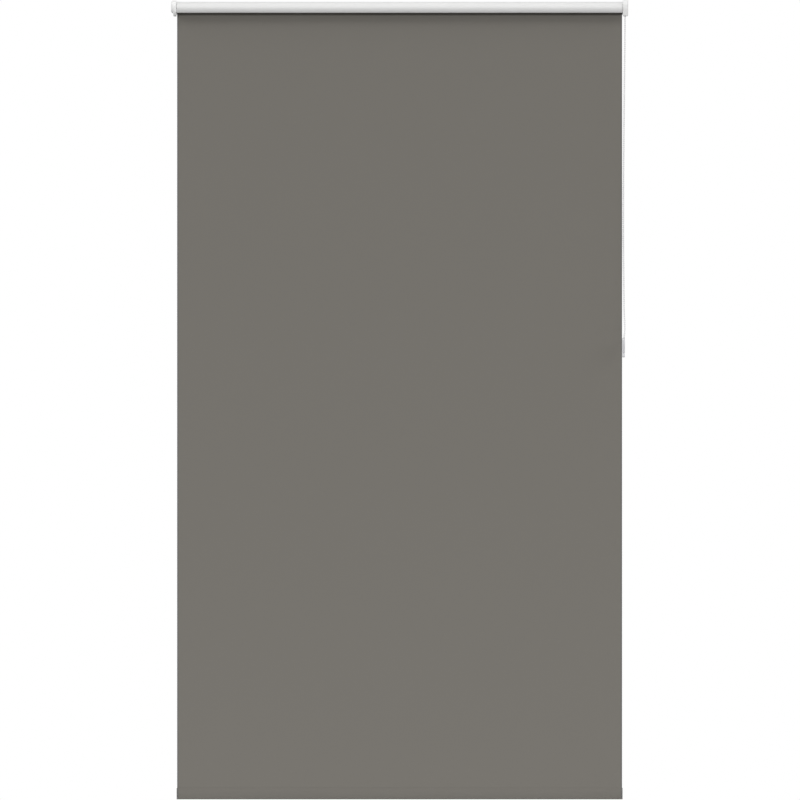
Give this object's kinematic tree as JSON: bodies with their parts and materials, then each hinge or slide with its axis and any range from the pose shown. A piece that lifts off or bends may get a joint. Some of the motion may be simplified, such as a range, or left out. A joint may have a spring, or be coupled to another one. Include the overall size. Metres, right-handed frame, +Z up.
{
  "type": "roller blind",
  "caption": "Wall-hung cassette roller blind with an opaque taupe-grey fabric, white half-round cover and end caps, and a looped bead chain with a weight.",
  "frame": {"origin": "centre of the middle wall clip's wall face, at the height of the roller's axis, midway between the end caps", "axes": "+X along the roller to the chain side, +Y into the wall, so the room is towards -Y, and +Z up"},
  "size_m": [1.3, 0.05, 2.2743],
  "materials": {
    "white_plastic": "white moulded plastic, satin",
    "grey_plastic": "light grey moulded plastic, satin",
    "white_aluminium": "white powder-coated aluminium extrusion",
    "bare_aluminium": "mill-finish aluminium extrusion",
    "steel": "zinc-plated spring steel and fasteners",
    "blackout_fabric": "tightly woven coated polyester, matt taupe-grey",
    "fabric_coloured_plastic": "moulded plastic coloured to match the fabric",
    "bead_plastic": "white moulded beads on a polyester cord"
  },
  "bodies": {
    "root": {"wall_clip_left": "steel", "wall_clip_middle": "steel", "wall_clip_right": "steel", "back_rail": "white_aluminium", "cassette_cover": "white_aluminium", "left_end_cap": "white_plastic", "right_end_cap": "white_plastic", "left_cap_plate": "white_plastic", "right_cap_plate": "white_plastic", "right_cap_screw_upper": "steel", "right_cap_screw_lower": "steel", "left_cap_screw_upper": "steel", "left_cap_screw_lower": "steel", "idle_bearing": "grey_plastic", "clutch_hub": "grey_plastic", "fabric_sheet": "blackout_fabric"},
    "roller": {"roller_tube": "bare_aluminium", "fabric_roll": "blackout_fabric", "idle_plug": "white_plastic", "idle_pin": "steel", "idle_spring": "steel", "drive_plug": "grey_plastic"},
    "chain_drive": {"chain_wheel": "white_plastic", "wrap_spring_inner": "steel", "wrap_spring_outer": "steel"},
    "bottom_rail": {"hem_pocket": "blackout_fabric", "bottom_bar": "bare_aluminium", "bottom_bar_cap_right": "fabric_coloured_plastic", "bottom_bar_cap_left": "fabric_coloured_plastic"},
    "chain_loop": {"chain_over_wheel": "bead_plastic", "chain_run_front": "bead_plastic", "chain_run_rear": "bead_plastic", "chain_under_pulley": "bead_plastic", "weight_shell_right": "grey_plastic", "weight_shell_left": "grey_plastic", "weight_pin": "steel", "weight_slug": "steel", "weight_foot": "grey_plastic", "weight_screw": "steel"},
    "tension_pulley": {"weight_pulley": "white_plastic"}
  },
  "joints": [
    {"name": "blind_lift", "type": "slide", "parent": "root", "child": "bottom_rail", "axis": [0, 0, 1], "range_m": [0, 2.19], "deforming": ["fabric_sheet"]},
    {"name": "roller_turn", "type": "hinge", "parent": "root", "child": "roller", "pos_m": [0, -0.027, 0], "axis": [1, 0, 0], "range_deg": [0, 9863]},
    {"name": "chain_wheel_turn", "type": "hinge", "parent": "root", "child": "chain_drive", "pos_m": [0.6415, -0.027, 0], "axis": [1, 0, 0], "range_deg": [0, 9863]},
    {"name": "chain_swing", "type": "hinge", "parent": "root", "child": "chain_loop", "pos_m": [0.6415, -0.027, 0], "axis": [1, 0, 0], "range_deg": [-4, 0]},
    {"name": "tension_pulley_turn", "type": "hinge", "parent": "chain_loop", "child": "tension_pulley", "pos_m": [0.637, -0.0352, -0.951], "axis": [1, 0, 0], "range_deg": [0, 12285]}
  ],
  "couplings": [
    {"joint": "roller_turn", "follows": "blind_lift", "rad_per_m": 78.6},
    {"joint": "chain_wheel_turn", "follows": "blind_lift", "rad_per_m": 78.6},
    {"joint": "tension_pulley_turn", "follows": "blind_lift", "rad_per_m": 97.901}
  ]
}
